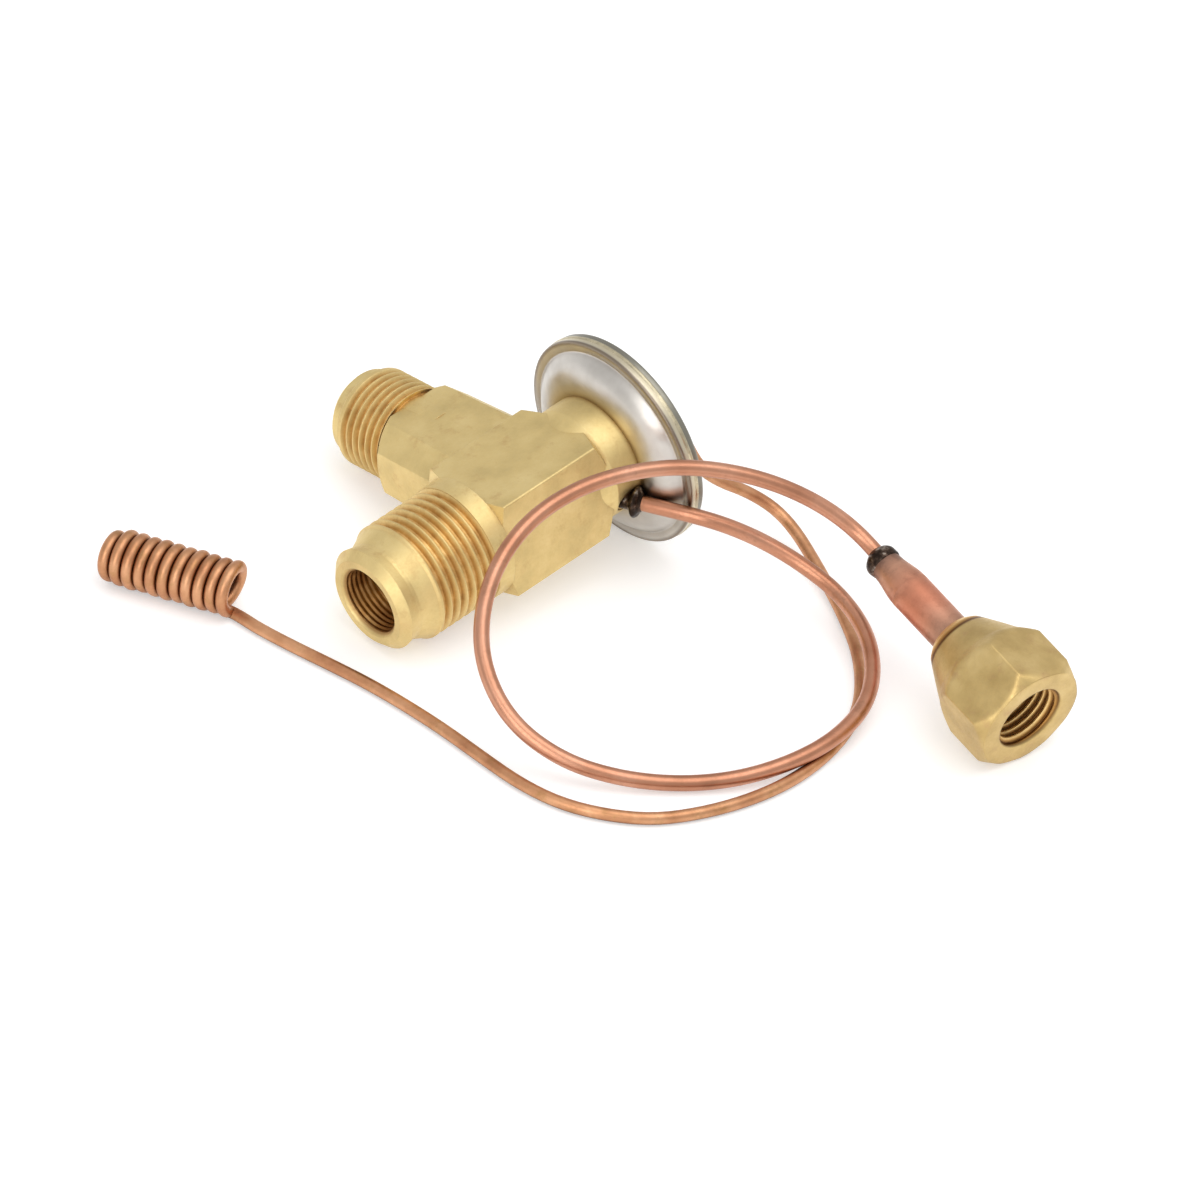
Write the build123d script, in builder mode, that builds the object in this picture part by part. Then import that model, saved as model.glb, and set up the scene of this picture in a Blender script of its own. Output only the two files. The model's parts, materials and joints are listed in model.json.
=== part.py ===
from build123d import *
import math
import os

os.makedirs("parts", exist_ok=True)

# Thermostatic expansion valve with an external equaliser line and a coiled sensing element.
# Frame: +Z up, floor at z = 0. The main axis runs along +X and rises to the head,
# the inlet arm points to +Y and dips to the floor. Lengths in mm.

# ---------------------------------------------------------------- driving sizes
valve_x = 3.8
valve_y = -10.5
block_side = 16.4
neck_r = 9.35
neck_end = 14.2
rim_r = 17.0
rim_front = 17.1
rim_back = 19.77
diaphragm_front = 18.35
diaphragm_gauge = 0.17
hub_r = 2.6
hub_end = 24.6
neck_bore_r = 7.2

# 3/4-16 outlet flare thread and 5/8-18 inlet flare thread
outlet_r = 9.525
outlet_pitch = 1.5875
outlet_first = 15.5
outlet_turns = 7
outlet_mouth = 32.4
inlet_r = 7.94
inlet_pitch = 1.411
inlet_first = 25.55
inlet_turns = 6
inlet_mouth = 37.6

seat_r = 4.4
seat_top = -3.2
orifice_end = -6.2
orifice_r = 1.2
ball_r = 2.0
rod_r = 0.8
rod_circle = 3.0
guide_r = 0.85
outlet_bore_r = 5.25
inlet_bore_r = 4.0

equaliser_r = 1.2
sensing_r = 0.95
coil_r = 4.3
stub_r = 3.175
nut_flats = 17.46
nut_entry = 17.4
nut_long = 18.3

# where the stub's brazed end and the coil's two ends lie, from the origin of the frame
stub_x = 35.56
stub_y = -53.42
stub_z = 14.63
coil_near_x = -38.47
coil_near_y = 7.6
coil_far_x = -47.37
coil_far_y = 24.14

# ---------------------------------------------------------------- attitude at rest
# The head's rim, the last crest of the outlet thread and the last crest of the inlet
# thread touch the floor.
outlet_last = outlet_first + outlet_pitch * (outlet_turns - 0.5) + outlet_pitch / 16
outlet_contact = outlet_last + 0.12
inlet_last = inlet_first + inlet_pitch * (inlet_turns - 0.5) + inlet_pitch / 16
inlet_contact = inlet_last + 0.5
tilt = math.atan((rim_r - outlet_r) / (rim_front + outlet_contact))
axis_height = outlet_contact * math.sin(tilt) + outlet_r * math.cos(tilt)
dip = math.asin(axis_height / math.hypot(inlet_contact, inlet_r)) - math.atan2(inlet_r, inlet_contact)
roll = math.asin(math.sin(dip) / math.cos(tilt))

valve = Plane(
    origin=(valve_x, valve_y, axis_height),
    x_dir=(math.cos(tilt), 0, math.sin(tilt)),
    z_dir=(-math.sin(tilt) * math.cos(roll), math.sin(roll), math.cos(tilt) * math.cos(roll)),
)
head_axis = Axis(valve.origin, valve.x_dir)
inlet_axis = Axis(valve.origin, valve.y_dir)
along_head = Plane(valve.origin, x_dir=valve.x_dir, z_dir=-valve.y_dir)
along_inlet = Plane(valve.origin, x_dir=valve.y_dir, z_dir=valve.x_dir)


def across_head(station):
    return Plane(valve.from_local_coords((station, 0, 0)), x_dir=valve.y_dir, z_dir=valve.x_dir)


def across_inlet(station):
    return Plane(valve.from_local_coords((0, station, 0)), x_dir=-valve.x_dir, z_dir=valve.y_dir)


def crests(first, pitch, turns, radius, sign):
    # outline of a 60 degree thread cut as rings, from the first groove to the last
    points = []
    for turn in range(turns):
        centre = first + turn * pitch
        for step, drop in ((-0.4375, 0), (-0.125, 0.541), (0.125, 0.541), (0.4375, 0)):
            points.append((sign * (centre + step * pitch), radius - drop * pitch))
    return points


# ---------------------------------------------------------------- inlet arm
arm_wide = 18.4
arm_high = 13.9
arm_bevel = 3.35
arm_end = 24.3

with BuildPart() as inlet_arm:
    with BuildSketch(across_inlet(0)) as arm_root:
        Rectangle(arm_wide + 1.2, arm_high + 0.9)
        chamfer(arm_root.vertices(), arm_bevel)
    with BuildSketch(across_inlet(arm_end)) as arm_tip:
        Rectangle(arm_wide, arm_high)
        chamfer(arm_tip.vertices(), arm_bevel)
    loft()
    with BuildSketch(along_inlet):
        with BuildLine():
            Polyline(
                (-1, 0),
                (-1, 13),
                (arm_end - 4.7, 13),
                (arm_end, 8.3),
                (arm_end, 0),
                close=True,
            )
        make_face()
    revolve(axis=inlet_axis, mode=Mode.INTERSECT)
    with BuildSketch(along_inlet):
        with BuildLine():
            Polyline(
                (18, 0),
                (18, inlet_r - 0.76),
                (24.85, inlet_r - 0.76),
                (24.85, inlet_r),
                *crests(inlet_first, inlet_pitch, inlet_turns, inlet_r, 1),
                (inlet_contact, inlet_r),
                (inlet_contact + 0.5, inlet_r - 0.45),
                (inlet_contact + 0.5, inlet_r - 1.04),
                (inlet_mouth - 1.4, inlet_r - 1.04),
                (inlet_mouth, inlet_r - 2.44),
                (inlet_mouth, 0),
                close=True,
            )
        make_face()
    revolve(axis=inlet_axis)

# ---------------------------------------------------------------- valve body
with BuildPart() as valve_body:
    with BuildSketch(across_head(-16.5)) as square:
        Rectangle(block_side, block_side)
        fillet(square.vertices(), 0.35)
    extrude(amount=33)
    with BuildSketch(along_head):
        with BuildLine():
            Polyline((-16.09, 0), (-10.53, 12.2), (6.94, 12.2), (15.36, 0), close=True)
        make_face()
    revolve(axis=head_axis, mode=Mode.INTERSECT)
    with BuildSketch(along_head):
        with BuildLine():
            Polyline(
                (0, 0),
                (0, block_side / 2),
                (7.2, block_side / 2),
                (9.6, neck_r),
                (neck_end, neck_r),
                (neck_end, 0),
                close=True,
            )
        make_face()
    revolve(axis=head_axis)
    with BuildSketch(along_head):
        with BuildLine():
            Polyline(
                (0, 0),
                (0, 8),
                (-11.7, 8),
                (-11.7, 9.7),
                (-outlet_first + 0.72, 9.7),
                (-outlet_first + 0.72, outlet_r),
                *crests(outlet_first, outlet_pitch, outlet_turns, outlet_r, -1),
                (-outlet_contact, outlet_r),
                (-outlet_contact - 0.35, outlet_r - 0.325),
                (-outlet_mouth + 3.5, outlet_r - 1.475),
                (-outlet_mouth + 2.9, outlet_r - 1.475),
                (-outlet_mouth + 1.3, outlet_r - 1.175),
                (-outlet_mouth, outlet_r - 2.525),
                (-outlet_mouth, 0),
                close=True,
            )
        make_face()
    revolve(axis=head_axis)
    add(inlet_arm.part)
    # bores along the main axis: head cavity, flow chamber, seat bore, threaded outlet bore
    with BuildSketch(along_head):
        with BuildLine():
            Polyline((9.6, 0), (9.6, neck_bore_r), (neck_end + 2, neck_bore_r), (neck_end + 2, 0), close=True)
        make_face()
    revolve(axis=head_axis, mode=Mode.SUBTRACT)
    with BuildSketch(along_head):
        with BuildLine():
            Polyline(
                (4.2, 0),
                (4.2, seat_r),
                (-14, seat_r),
                (-14.8, outlet_bore_r),
                (0.6 - outlet_mouth, outlet_bore_r),
                (-outlet_mouth - 0.1, outlet_bore_r + 0.7),
                (-outlet_mouth - 0.6, outlet_bore_r + 0.7),
                (-outlet_mouth - 0.6, 0),
                close=True,
            )
        make_face()
    revolve(axis=head_axis, mode=Mode.SUBTRACT)
    # inlet bore
    with BuildSketch(along_inlet):
        with BuildLine():
            Polyline(
                (0, 0),
                (0, 3),
                (15, 3),
                (16, inlet_bore_r),
                (inlet_mouth - 0.5, inlet_bore_r),
                (inlet_mouth + 0.1, inlet_bore_r + 0.6),
                (inlet_mouth + 0.4, inlet_bore_r + 0.6),
                (inlet_mouth + 0.4, 0),
                close=True,
            )
        make_face()
    revolve(axis=inlet_axis, mode=Mode.SUBTRACT)
    # guide holes of the two push rods
    with BuildSketch(across_head(4)):
        with Locations((0, rod_circle), (0, -rod_circle)):
            Circle(guide_r)
    extrude(amount=6, mode=Mode.SUBTRACT)
    # equaliser port in the neck, 25 degrees below the side opposite the inlet
    port_x = 12.0
    port_out = -math.cos(math.radians(25)) * valve.y_dir - math.sin(math.radians(25)) * valve.z_dir
    port_mid = valve.from_local_coords((port_x, 0, 0))
    port_seat = 9.0
    with BuildSketch(Plane(port_mid + 6 * port_out, x_dir=valve.x_dir, z_dir=port_out)):
        Circle(equaliser_r + 0.02)
    extrude(amount=5, mode=Mode.SUBTRACT)
    with BuildSketch(Plane(port_mid + port_seat * port_out, x_dir=valve.x_dir, z_dir=port_out)):
        Circle(2.2)
    extrude(amount=3, mode=Mode.SUBTRACT)
valve_body.part.label = "valve_body"
export_step(valve_body.part, "parts/valve_body.step")

# ---------------------------------------------------------------- seat, ball, carrier, rods, pad
with BuildPart() as seat_insert:
    with BuildSketch(across_head(seat_top)):
        Circle(seat_r)
        Circle(orifice_r, mode=Mode.SUBTRACT)
        with Locations((0, rod_circle), (0, -rod_circle)):
            Circle(guide_r, mode=Mode.SUBTRACT)
    extrude(amount=orifice_end - seat_top)
seat_insert.part.label = "seat_insert"
export_step(seat_insert.part, "parts/seat_insert.step")

ball_x = orifice_end - math.sqrt(ball_r**2 - orifice_r**2)
with BuildPart() as valve_ball:
    with BuildSketch(along_head):
        with BuildLine():
            CenterArc((ball_x, 0), ball_r, 0, 180)
            Line((ball_x - ball_r, 0), (ball_x + ball_r, 0))
        make_face()
    revolve(axis=head_axis)
valve_ball.part.label = "valve_ball"
export_step(valve_ball.part, "parts/valve_ball.step")

carrier_top = ball_x + 0.2
carrier_end = carrier_top - 3.0
with BuildPart() as ball_carrier:
    with BuildSketch(along_head):
        with BuildLine():
            Polyline(
                (ball_x - ball_r, 0),
                (ball_x - ball_r, ball_r + 0.05),
                (carrier_top, ball_r + 0.05),
                (carrier_top, 3.9),
                (carrier_end, 3.9),
                (carrier_end, 2.4),
                (carrier_end - 1.4, 2.2),
                (carrier_end - 1.4, 0),
                close=True,
            )
        make_face()
    revolve(axis=head_axis)
ball_carrier.part.label = "ball_carrier"
export_step(ball_carrier.part, "parts/ball_carrier.step")

pad_bottom = 15.9
with BuildPart() as push_rod_1:
    with BuildSketch(across_head(carrier_top)):
        with Locations((0, rod_circle)):
            Circle(rod_r)
    extrude(amount=pad_bottom - carrier_top)
push_rod_1.part.label = "push_rod_1"
export_step(push_rod_1.part, "parts/push_rod_1.step")

with BuildPart() as push_rod_2:
    with BuildSketch(across_head(carrier_top)):
        with Locations((0, -rod_circle)):
            Circle(rod_r)
    extrude(amount=pad_bottom - carrier_top)
push_rod_2.part.label = "push_rod_2"
export_step(push_rod_2.part, "parts/push_rod_2.step")

with BuildPart() as thrust_pad:
    with BuildSketch(along_head):
        with BuildLine():
            Polyline(
                (pad_bottom, 0),
                (pad_bottom, 4.4),
                (17.3, 4.4),
                (17.3, 6.8),
                (diaphragm_front - 0.05, 6.8),
                (diaphragm_front - 0.05, 0),
                close=True,
            )
        make_face()
    revolve(axis=head_axis)
thrust_pad.part.label = "thrust_pad"
export_step(thrust_pad.part, "parts/thrust_pad.step")

# ---------------------------------------------------------------- power head
sheet = 1.0


def dish(share_along, share_out):
    # a point of the lower shell, between the end of the neck (0, 0) and the front of the rim (1, 1)
    along = neck_end + share_along * (rim_front - neck_end)
    return (along, neck_r + share_out * (rim_r - neck_r))


def dome(share_along, share_out):
    # a point of the upper shell, between the back of the rim (0, 1) and the end of the hub (1, hub_r)
    return (rim_back + share_along * (hub_end - rim_back), share_out * rim_r)


with BuildPart() as head_lower_shell:
    with BuildSketch(along_head):
        with BuildLine():
            Polyline(
                (neck_end, neck_bore_r + 0.2),
                (neck_end, neck_r),
                dish(0.09, 0.24),
                dish(0.21, 0.41),
                dish(0.41, 0.57),
                dish(0.66, 0.69),
                dish(0.86, 0.75),
                dish(1, 0.765),
                (rim_front, rim_r),
                (diaphragm_front, rim_r),
                (diaphragm_front, 0.853 * rim_r),
                (rim_front + 0.4 * sheet, 0.835 * rim_r),
                dish(0.79, 0.49),
                dish(0.48, 0.27),
                (neck_end + sheet, neck_r + 0.05),
                (neck_end + sheet, neck_bore_r + 0.2),
                close=True,
            )
        make_face()
    revolve(axis=head_axis)
head_lower_shell.part.label = "head_lower_shell"
export_step(head_lower_shell.part, "parts/head_lower_shell.step")

diaphragm_back = diaphragm_front + diaphragm_gauge
wave = [(rise, share * rim_r) for rise, share in ((0, 0.41), (0.35, 0.48), (0, 0.55), (0.35, 0.62), (0, 0.69))]
with BuildPart() as diaphragm:
    with BuildSketch(along_head):
        with BuildLine():
            Polyline(
                (diaphragm_front, 0),
                *[(diaphragm_front + rise, radius) for rise, radius in wave],
                (diaphragm_front, rim_r),
                (diaphragm_back, rim_r),
                *[(diaphragm_back + rise, radius) for rise, radius in reversed(wave)],
                (diaphragm_back, 0),
                close=True,
            )
        make_face()
    revolve(axis=head_axis)
diaphragm.part.label = "diaphragm"
export_step(diaphragm.part, "parts/diaphragm.step")

with BuildPart() as head_upper_shell:
    with BuildSketch(along_head):
        with BuildLine():
            Polyline(
                (diaphragm_back, 0.853 * rim_r),
                (diaphragm_back, rim_r),
                (rim_back, rim_r),
                dome(0, 0.906),
                dome(0.15, 0.865),
                dome(0.36, 0.77),
                dome(0.545, 0.635),
                dome(0.69, 0.465),
                dome(0.772, 0.306),
                dome(0.814, 0.2),
                (hub_end, hub_r),
                (hub_end, sensing_r + 0.02),
                dome(0.648, (sensing_r + 0.02) / rim_r),
                dome(0.565, 0.306),
                dome(0.482, 0.453),
                dome(0.337, 0.612),
                dome(0.172, 0.735),
                dome(-0.014, 0.818),
                close=True,
            )
        make_face()
    revolve(axis=head_axis)
head_upper_shell.part.label = "head_upper_shell"
export_step(head_upper_shell.part, "parts/head_upper_shell.step")

with BuildPart() as rim_weld:
    with BuildSketch(along_head):
        with BuildLine():
            Polyline(
                (diaphragm_front - 0.28, rim_r),
                (diaphragm_front - 0.05, rim_r + 0.13),
                (diaphragm_back + 0.05, rim_r + 0.13),
                (diaphragm_back + 0.28, rim_r),
                close=True,
            )
        make_face()
    revolve(axis=head_axis)
rim_weld.part.label = "rim_weld"
export_step(rim_weld.part, "parts/rim_weld.step")

with BuildPart() as head_braze:
    with BuildSketch(along_head):
        with BuildLine():
            Polyline(
                (hub_end, sensing_r + 0.02),
                (hub_end, 2.1),
                (hub_end + 0.3, 1.6),
                (hub_end + 0.5, sensing_r + 0.02),
                close=True,
            )
        make_face()
    revolve(axis=head_axis)
head_braze.part.label = "head_braze"
export_step(head_braze.part, "parts/head_braze.step")

# ---------------------------------------------------------------- superheat spring and its adjuster
wire_r = 0.45
spring_r = 3.0
seat_face = -18.6
spring_coils = 5
spring_start = carrier_end - wire_r
spring_length = spring_start - (seat_face + wire_r)
with BuildPart() as superheat_spring:
    with BuildLine():
        wire_path = Helix(
            spring_length / spring_coils,
            spring_length,
            spring_r,
            center=valve.from_local_coords((spring_start, 0, 0)),
            direction=-valve.x_dir,
        )
    with BuildSketch(wire_path ^ 0):
        RegularPolygon(wire_r, 8)
    sweep(path=wire_path, is_frenet=True)
superheat_spring.part.label = "superheat_spring"
export_step(superheat_spring.part, "parts/superheat_spring.step")

with BuildPart() as spring_seat:
    with BuildSketch(along_head):
        with BuildLine():
            Polyline(
                (seat_face + 1.2, 0),
                (seat_face + 1.2, 2.2),
                (seat_face, 2.4),
                (seat_face, 4.0),
                (seat_face - 1, 4.0),
                (seat_face - 1, 0),
                close=True,
            )
        make_face()
    revolve(axis=head_axis)
spring_seat.part.label = "spring_seat"
export_step(spring_seat.part, "parts/spring_seat.step")

adjuster_face = seat_face - 1
adjuster_long = 4.0
with BuildPart() as adjusting_nut:
    with BuildSketch(across_head(adjuster_face)):
        Circle(outlet_bore_r - 0.1)
        RegularPolygon(2.5, 6, major_radius=False, mode=Mode.SUBTRACT)
    extrude(amount=-adjuster_long)
adjusting_nut.part.label = "adjusting_nut"
export_step(adjusting_nut.part, "parts/adjusting_nut.step")

# ---------------------------------------------------------------- inlet strainer
with BuildPart() as inlet_strainer:
    with BuildSketch(along_inlet):
        with BuildLine():
            Polyline((17, 0), (17, 3.5), (33, 3.5), (33, 3.25), (17.25, 3.25), (17.25, 0), close=True)
        make_face()
    revolve(axis=inlet_axis)
inlet_strainer.part.label = "inlet_strainer"
export_step(inlet_strainer.part, "parts/inlet_strainer.step")

with BuildPart() as strainer_ring:
    with BuildSketch(across_inlet(33)):
        Circle(inlet_bore_r - 0.01)
        Circle(3.1, mode=Mode.SUBTRACT)
    extrude(amount=1.4)
strainer_ring.part.label = "strainer_ring"
export_step(strainer_ring.part, "parts/strainer_ring.step")

# ---------------------------------------------------------------- stub tube and flare nut
stub_start = Vector(stub_x, stub_y, stub_z)
stub_along = Vector(-0.0939, -0.9835, -0.1544).normalized()
nut_corner = Vector(0.607, -0.179, 0.775)
stub = Plane(stub_start, x_dir=nut_corner, z_dir=stub_along)
stub_axis = Axis(stub.origin, stub.z_dir)
stub_side = Plane(stub.origin, x_dir=stub.z_dir, z_dir=stub.y_dir)
flare_tip = 25.1

with BuildPart() as equaliser_stub:
    with BuildSketch(stub_side):
        with BuildLine():
            Polyline(
                (0, equaliser_r + 0.02),
                (0, 2.55),
                (3.7, 2.55),
                (5.4, stub_r),
                (23.7, stub_r),
                (flare_tip, 4.55),
                (flare_tip, 3.6),
                (23.9, stub_r - 0.8),
                (4.4, stub_r - 0.8),
                (3.6, equaliser_r + 0.02),
                close=True,
            )
        make_face()
    revolve(axis=stub_axis)
equaliser_stub.part.label = "equaliser_stub"
export_step(equaliser_stub.part, "parts/equaliser_stub.step")

with BuildPart() as stub_braze:
    with BuildSketch(stub_side):
        with BuildLine():
            Polyline((0, equaliser_r + 0.02), (0, 2.3), (-0.6, 2.1), (-1.3, equaliser_r + 0.02), close=True)
        make_face()
    revolve(axis=stub_axis)
stub_braze.part.label = "stub_braze"
export_step(stub_braze.part, "parts/stub_braze.step")

corner_r = nut_flats / 2 / math.cos(math.radians(30))
with BuildPart() as flare_nut:
    with BuildSketch(stub.offset(nut_entry)):
        RegularPolygon(nut_flats / 2, 6, major_radius=False)
    extrude(amount=nut_long)
    with BuildSketch(stub_side):
        with BuildLine():
            Polyline(
                (nut_entry, 0),
                (nut_entry, 3.5),
                (nut_entry + 0.8, 3.7),
                (nut_entry + 2.0, 5.2),
                (nut_entry + 4.1, 6.5),
                (nut_entry + 7.1, 8.1),
                (nut_entry + 10.0, corner_r),
                (nut_entry + nut_long - 0.9, corner_r + 0.02),
                (nut_entry + nut_long, 9.3),
                (nut_entry + nut_long, 0),
                close=True,
            )
        make_face()
    revolve(axis=stub_axis, mode=Mode.INTERSECT)
    with BuildSketch(stub_side):
        with BuildLine():
            Polyline(
                (nut_entry - 1, 0),
                (nut_entry - 1, 3.3),
                (23.6, 3.3),
                (25.25, 4.95),
                (nut_entry + nut_long - 0.6, 4.95),
                (nut_entry + nut_long, 5.6),
                (nut_entry + nut_long + 1, 5.6),
                (nut_entry + nut_long + 1, 0),
                close=True,
            )
        make_face()
    revolve(axis=stub_axis, mode=Mode.SUBTRACT)
flare_nut.part.label = "flare_nut"
export_step(flare_nut.part, "parts/flare_nut.step")

# ---------------------------------------------------------------- equaliser line
with BuildPart() as equaliser_braze:
    with BuildSketch(Plane(port_mid + port_seat * port_out, x_dir=valve.x_dir, z_dir=port_out)):
        Circle(2.18)
        Circle(equaliser_r + 0.02, mode=Mode.SUBTRACT)
    extrude(amount=1.1)
equaliser_braze.part.label = "equaliser_braze"
export_step(equaliser_braze.part, "parts/equaliser_braze.step")


def bend_radii(points):
    # the largest fillets that keep 45 percent of the shorter run at every bend
    radii = []
    for before, here, after in zip(points, points[1:], points[2:]):
        run_in = Vector(*here) - Vector(*before)
        run_out = Vector(*after) - Vector(*here)
        half_turn = math.radians(run_in.get_angle(run_out)) / 2
        radii.append(0.45 * min(run_in.length, run_out.length) / math.tan(half_turn))
    return radii


def spot(plane, *local):
    point = plane.from_local_coords(local)
    return (point.X, point.Y, point.Z)


port_in = port_mid + 7.3 * port_out
port_free = port_mid + 11.6 * port_out
equaliser_route = [
    (port_in.X, port_in.Y, port_in.Z),
    (port_free.X, port_free.Y, port_free.Z),
    (18.0, -25.6, 14.0),
    (20.7, -29.9, 14.7),
    (24.3, -33.2, 13.5),
    (28.2, -37.3, 11.3),
    (31.2, -42.8, 9.0),
    (32.4, -49.4, 7.3),
    (30.4, -57.0, 6.1),
    (25.6, -63.3, 5.1),
    (18.7, -68.0, 4.3),
    (10.5, -70.2, 3.5),
    (2.2, -69.8, 2.6),
    (-5.9, -66.9, 1.7),
    (-13.5, -62.3, 1.4),
    (-19.9, -56.2, 2.1),
    (-24.6, -49.2, 3.8),
    (-27.1, -41.9, 6.9),
    (-26.9, -35.2, 11.3),
    (-24.0, -29.8, 16.4),
    (-18.6, -26.1, 21.1),
    (-11.4, -24.4, 24.5),
    (-3.0, -24.5, 26.5),
    (5.7, -26.3, 27.2),
    (14.0, -29.5, 26.9),
    (21.6, -33.8, 25.5),
    (27.9, -38.7, 23.2),
    (32.9, -44.4, 19.4),
    spot(stub, 0, 0, -3.6),
    spot(stub, 0, 0, 2.0),
]
equaliser_bends = bend_radii(equaliser_route)
print("equaliser bends", [round(radius, 1) for radius in equaliser_bends])
with BuildPart() as equaliser_line:
    with BuildLine() as equaliser_path:
        FilletPolyline(*equaliser_route, radius=equaliser_bends)
    with BuildSketch(equaliser_path.line ^ 0):
        Circle(equaliser_r)
    sweep(path=equaliser_path.line)
equaliser_line.part.label = "equaliser_line"
export_step(equaliser_line.part, "parts/equaliser_line.step")

# ---------------------------------------------------------------- sensing line and coil
coil_near = Vector(coil_near_x, coil_near_y, coil_r)
coil_far = Vector(coil_far_x, coil_far_y, coil_r)
coil_along = (coil_far - coil_near).normalized()
coil_turns = 11
coil_long = (coil_far - coil_near).length
coil_pitch = coil_long / (coil_turns - 1)
coil = Plane(coil_near - coil_pitch / 2 * coil_along, x_dir=(0, 0, 1), z_dir=coil_along)
coil_axis = Axis(coil.origin, coil.z_dir)
coil_side = Plane(coil.origin, x_dir=coil.z_dir, z_dir=coil.y_dir)
coil_inner = coil_r - 2 * sensing_r

sensing_route = [
    spot(valve, 23.2, 0, 0),
    spot(valve, 26.5, 0, 0),
    spot(valve, 28.1, -1.3, -1.9),
    spot(valve, 28.2, -3.6, -5.4),
    spot(valve, 28.1, -5.9, -8.7),
    (34.6, -20.6, 9.6),
    (38.6, -23.0, 7.4),
    (41.3, -26.6, 5.1),
    (41.5, -31.2, 3.5),
    (39.9, -37.0, 2.3),
    (37.6, -42.8, 1.4),
    (34.5, -48.8, 1.0),
    (30.5, -55.1, 1.0),
    (26.0, -60.6, 1.0),
    (20.8, -65.1, 1.0),
    (14.7, -68.5, 1.0),
    (7.7, -70.7, 1.0),
    (0.1, -71.6, 1.0),
    (-7.7, -71.0, 1.0),
    (-15.1, -69.0, 1.0),
    (-21.4, -65.6, 1.0),
    (-26.1, -60.8, 1.0),
    (-29.3, -54.9, 1.0),
    (-31.1, -48.2, 1.0),
    (-32.0, -40.8, 1.0),
    (-32.5, -33.3, 1.0),
    (-33.1, -25.8, 1.0),
    (-34.1, -18.5, 1.0),
    (-35.6, -11.8, 1.0),
    (-37.3, -4.9, 1.0),
    (-38.7, 1.0, 1.0),
    (-39.1, 5.6, 1.0),
]
sensing_bends = bend_radii(sensing_route)
print("sensing bends", [round(radius, 1) for radius in sensing_bends])
with BuildPart() as sensing_line:
    with BuildLine() as sensing_path:
        FilletPolyline(*sensing_route, radius=sensing_bends)
    with BuildSketch(sensing_path.line ^ 0):
        Circle(sensing_r)
    sweep(path=sensing_path.line)
sensing_line.part.label = "sensing_line"
export_step(sensing_line.part, "parts/sensing_line.step")

ridges = []
for turn in range(coil_turns):
    start = turn * coil_pitch
    ridges.append((start, coil_r - 0.75))
    ridges.append((start + 0.22 * coil_pitch, coil_r - 0.15))
    ridges.append((start + 0.5 * coil_pitch, coil_r))
    ridges.append((start + 0.78 * coil_pitch, coil_r - 0.15))
coil_total = coil_turns * coil_pitch
with BuildPart() as sensing_coil:
    with BuildSketch(coil_side):
        with BuildLine():
            Polyline(
                (0, coil_inner + 0.3),
                *ridges,
                (coil_total, coil_r - 0.75),
                (coil_total, coil_inner + 0.3),
                (coil_total - 0.5, coil_inner),
                (0.5, coil_inner),
                close=True,
            )
        make_face()
    revolve(axis=coil_axis)
sensing_coil.part.label = "sensing_coil"
export_step(sensing_coil.part, "parts/sensing_coil.step")

print("tilt", round(math.degrees(tilt), 3), "dip", round(math.degrees(dip), 3), "roll", round(math.degrees(roll), 3))
print("axis height", round(axis_height, 3))
print("valve x y z", valve.x_dir, valve.y_dir, valve.z_dir, valve.origin)
print("coil bottom", round(coil_near.Z - coil_r, 3))
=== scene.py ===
import json
import math

import bpy
import numpy as np
from mathutils import Matrix, Vector


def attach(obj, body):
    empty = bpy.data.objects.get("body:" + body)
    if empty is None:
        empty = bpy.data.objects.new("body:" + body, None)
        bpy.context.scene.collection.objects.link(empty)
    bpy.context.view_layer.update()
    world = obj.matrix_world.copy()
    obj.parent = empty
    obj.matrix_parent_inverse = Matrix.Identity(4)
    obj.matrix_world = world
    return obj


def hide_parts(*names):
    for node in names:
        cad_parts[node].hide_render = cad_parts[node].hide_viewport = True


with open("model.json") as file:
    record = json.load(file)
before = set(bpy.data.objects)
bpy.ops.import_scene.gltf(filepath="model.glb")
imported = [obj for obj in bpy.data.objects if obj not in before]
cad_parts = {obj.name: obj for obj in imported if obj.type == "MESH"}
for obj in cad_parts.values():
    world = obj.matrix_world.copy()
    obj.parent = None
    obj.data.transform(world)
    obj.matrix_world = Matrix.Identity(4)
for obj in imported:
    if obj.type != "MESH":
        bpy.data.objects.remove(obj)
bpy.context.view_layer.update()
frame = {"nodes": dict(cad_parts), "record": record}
nodes = frame["nodes"]
mm = 0.001

# the valve's axes, as in part.py
tilt = math.radians(9.8310)
roll = math.radians(10.3780)
centre = np.array((3.8, -10.5, 13.8308))
headDir = np.array((math.cos(tilt), 0, math.sin(tilt)))
inletDir = np.array(
    (math.sin(tilt) * math.sin(roll), math.cos(roll), -math.cos(tilt) * math.sin(roll))
)
upDir = np.array(
    (-math.sin(tilt) * math.cos(roll), math.sin(roll), math.cos(tilt) * math.cos(roll))
)


def fromValve(a, b=0.0, c=0.0):
    # point of the frame, mm, from stations along the head axis, the inlet axis and up
    return centre + a * headDir + b * inletDir + c * upDir


# the stub tube's axis: start in mm, direction, and the way towards a corner of the nut
stubStart = np.array((35.56, -53.42, 14.63))
stubDir = np.array((-0.0939, -0.9835, -0.1544))
stubDir = stubDir / np.linalg.norm(stubDir)
stubAcross = np.array((0.607, -0.179, 0.775))
stubAcross = stubAcross - np.dot(stubAcross, stubDir) * stubDir
stubAcross = stubAcross / np.linalg.norm(stubAcross)

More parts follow.
